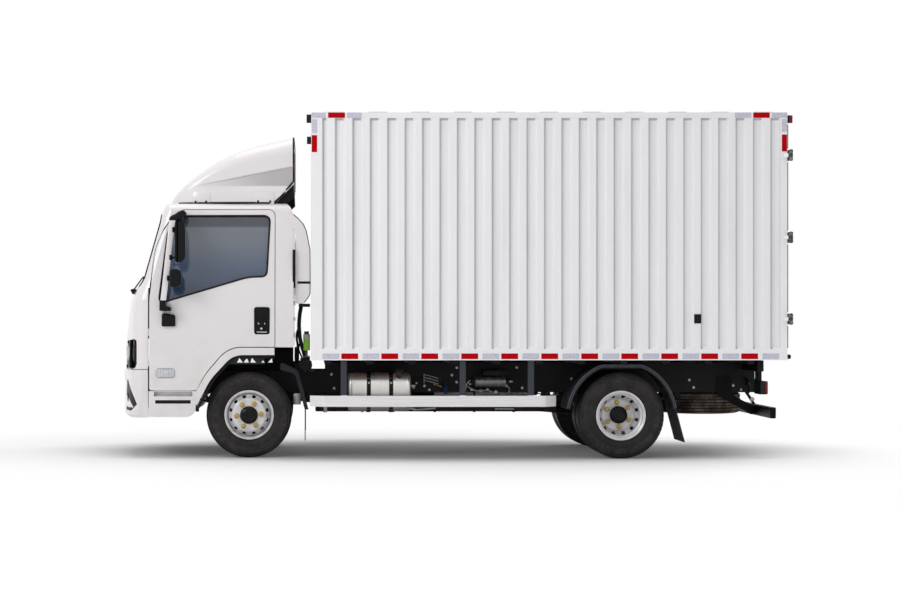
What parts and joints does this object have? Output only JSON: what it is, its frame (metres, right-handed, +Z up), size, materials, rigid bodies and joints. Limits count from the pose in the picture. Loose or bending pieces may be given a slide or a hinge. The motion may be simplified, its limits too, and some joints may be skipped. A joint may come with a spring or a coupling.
{
  "type": "box truck",
  "caption": "Light cab-over box truck with tilting cab, ribbed steel box body, swinging rear doors, steered front wheels and twin rear wheels.",
  "frame": {"origin": "on the ground at the middle of the overall length and width", "axes": "+X forward to the cab, +Y to the truck's left, +Z up"},
  "size_m": [6.08, 2.3504, 3.119],
  "materials": {
    "cab_white": "smooth gloss paint",
    "box_white": "satin paint on pressed steel",
    "chassis_black": "satin black paint",
    "black_plastic": "grained black plastic",
    "glass": "lightly tinted",
    "lamp": "clear lens",
    "tail_lamp": "red lens",
    "tyre": "black rubber",
    "rim": "silver paint",
    "steel": "zinc plated",
    "aluminium": "brushed",
    "cast": "black cast",
    "guard_grey": "grained dark plastic",
    "floor": "varnished plywood",
    "seat": "woven cloth",
    "dash": "grained grey plastic",
    "bottle": "translucent green"
  },
  "bodies": {
    "chassis": {"frame": "chassis_black", "crossmembers": "chassis_black", "subframe": "chassis_black", "floor_bearers": "chassis_black", "box_floor": "floor", "box_frame": "box_white", "box_wall_left": "box_white", "box_wall_right": "box_white", "box_wall_front": "box_white", "box_roof": "box_white", "front_axle": "cast", "rear_axle": "cast", "leaf_springs": "chassis_black", "engine": "cast", "drive_shaft": "chassis_black", "radiator": "aluminium", "fuel_tank": "aluminium", "tank_brackets": "black_plastic", "exhaust": "steel", "battery_box": "black_plastic", "side_guards": "aluminium", "mudguards": "guard_grey", "spare_tyre": "tyre", "spare_carrier": "rim", "underrun_bar": "chassis_black", "rear_lamps": "tail_lamp", "coolant_bottle": "bottle"},
    "cab": {"cab_shell": "cab_white", "cab_floor": "cab_white", "front_panel": "cab_white", "bumper": "cab_white", "step_panels": "cab_white", "cab_glass": "glass", "headlamps": "lamp", "roof_fairing": "cab_white", "intake_duct": "cab_white", "dashboard": "dash", "seats": "seat"},
    "steering_wheel": {"steering_wheel": "black_plastic"},
    "tie_rod": {"tie_rod": "steel"},
    "cab_door_left": {"door_left": "cab_white", "door_glass_left": "glass", "mirrors_left": "black_plastic"},
    "knuckle_left": {"knuckle_left": "cast"},
    "wheel_front_left": {"rim_front_left": "rim", "tyre_front_left": "tyre"},
    "wheels_rear_left": {"rims_rear_left": "rim", "tyres_rear_left": "tyre"},
    "box_door_left": {"box_leaf_left": "box_white", "lock_gear_left": "steel"},
    "cab_door_right": {"door_right": "cab_white", "door_glass_right": "glass", "mirrors_right": "black_plastic"},
    "knuckle_right": {"knuckle_right": "cast"},
    "wheel_front_right": {"rim_front_right": "rim", "tyre_front_right": "tyre"},
    "wheels_rear_right": {"rims_rear_right": "rim", "tyres_rear_right": "tyre"},
    "box_door_right": {"box_leaf_right": "box_white", "lock_gear_right": "steel"}
  },
  "joints": [
    {"name": "cab_tilt", "type": "hinge", "parent": "chassis", "child": "cab", "pos_m": [2.8, 0, 0.6], "axis": [0, 1, 0], "range_deg": [0, 45]},
    {"name": "steering_wheel_turn", "type": "hinge", "parent": "cab", "child": "steering_wheel", "pos_m": [2.33, 0.42, 1.452], "axis": [-0.5, 0, 0.866], "range_deg": [-525, 525]},
    {"name": "tie_rod_swing", "type": "hinge", "parent": "knuckle_left", "child": "tie_rod", "pos_m": [1.694, 0.68, 0.302], "axis": [0, 0, 1], "range_deg": [-35, 35]},
    {"name": "cab_door_left_swing", "type": "hinge", "parent": "cab", "child": "cab_door_left", "pos_m": [2.75, 0.922, 1.4], "axis": [0, 0, -1], "range_deg": [0, 70]},
    {"name": "steer_left", "type": "hinge", "parent": "chassis", "child": "knuckle_left", "pos_m": [1.844, 0.68, 0.388], "axis": [0, 0, 1], "range_deg": [-35, 35]},
    {"name": "wheel_front_left_spin", "type": "hinge", "parent": "knuckle_left", "child": "wheel_front_left", "pos_m": [1.844, 0.752, 0.388], "axis": [0, 1, 0], "continuous": true},
    {"name": "wheels_rear_left_spin", "type": "hinge", "parent": "chassis", "child": "wheels_rear_left", "pos_m": [-1.516, 0.77, 0.388], "axis": [0, 1, 0], "continuous": true},
    {"name": "box_door_left_swing", "type": "hinge", "parent": "chassis", "child": "box_door_left", "pos_m": [-3.009, 1.13, 2], "axis": [0, 0, -1], "range_deg": [0, 270]},
    {"name": "cab_door_right_swing", "type": "hinge", "parent": "cab", "child": "cab_door_right", "pos_m": [2.75, -0.922, 1.4], "axis": [0, 0, 1], "range_deg": [0, 70]},
    {"name": "steer_right", "type": "hinge", "parent": "chassis", "child": "knuckle_right", "pos_m": [1.844, -0.68, 0.388], "axis": [0, 0, 1], "range_deg": [-35, 35]},
    {"name": "wheel_front_right_spin", "type": "hinge", "parent": "knuckle_right", "child": "wheel_front_right", "pos_m": [1.844, -0.752, 0.388], "axis": [0, 1, 0], "continuous": true},
    {"name": "wheels_rear_right_spin", "type": "hinge", "parent": "chassis", "child": "wheels_rear_right", "pos_m": [-1.516, -0.77, 0.388], "axis": [0, 1, 0], "continuous": true},
    {"name": "box_door_right_swing", "type": "hinge", "parent": "chassis", "child": "box_door_right", "pos_m": [-3.009, -1.13, 2], "axis": [0, 0, 1], "range_deg": [0, 270]}
  ],
  "couplings": [
    {"joint": "steer_right", "follows": "steer_left", "ratio": 1},
    {"joint": "steering_wheel_turn", "follows": "steer_left", "ratio": 15},
    {"joint": "tie_rod_swing", "follows": "steer_left", "ratio": -1}
  ]
}
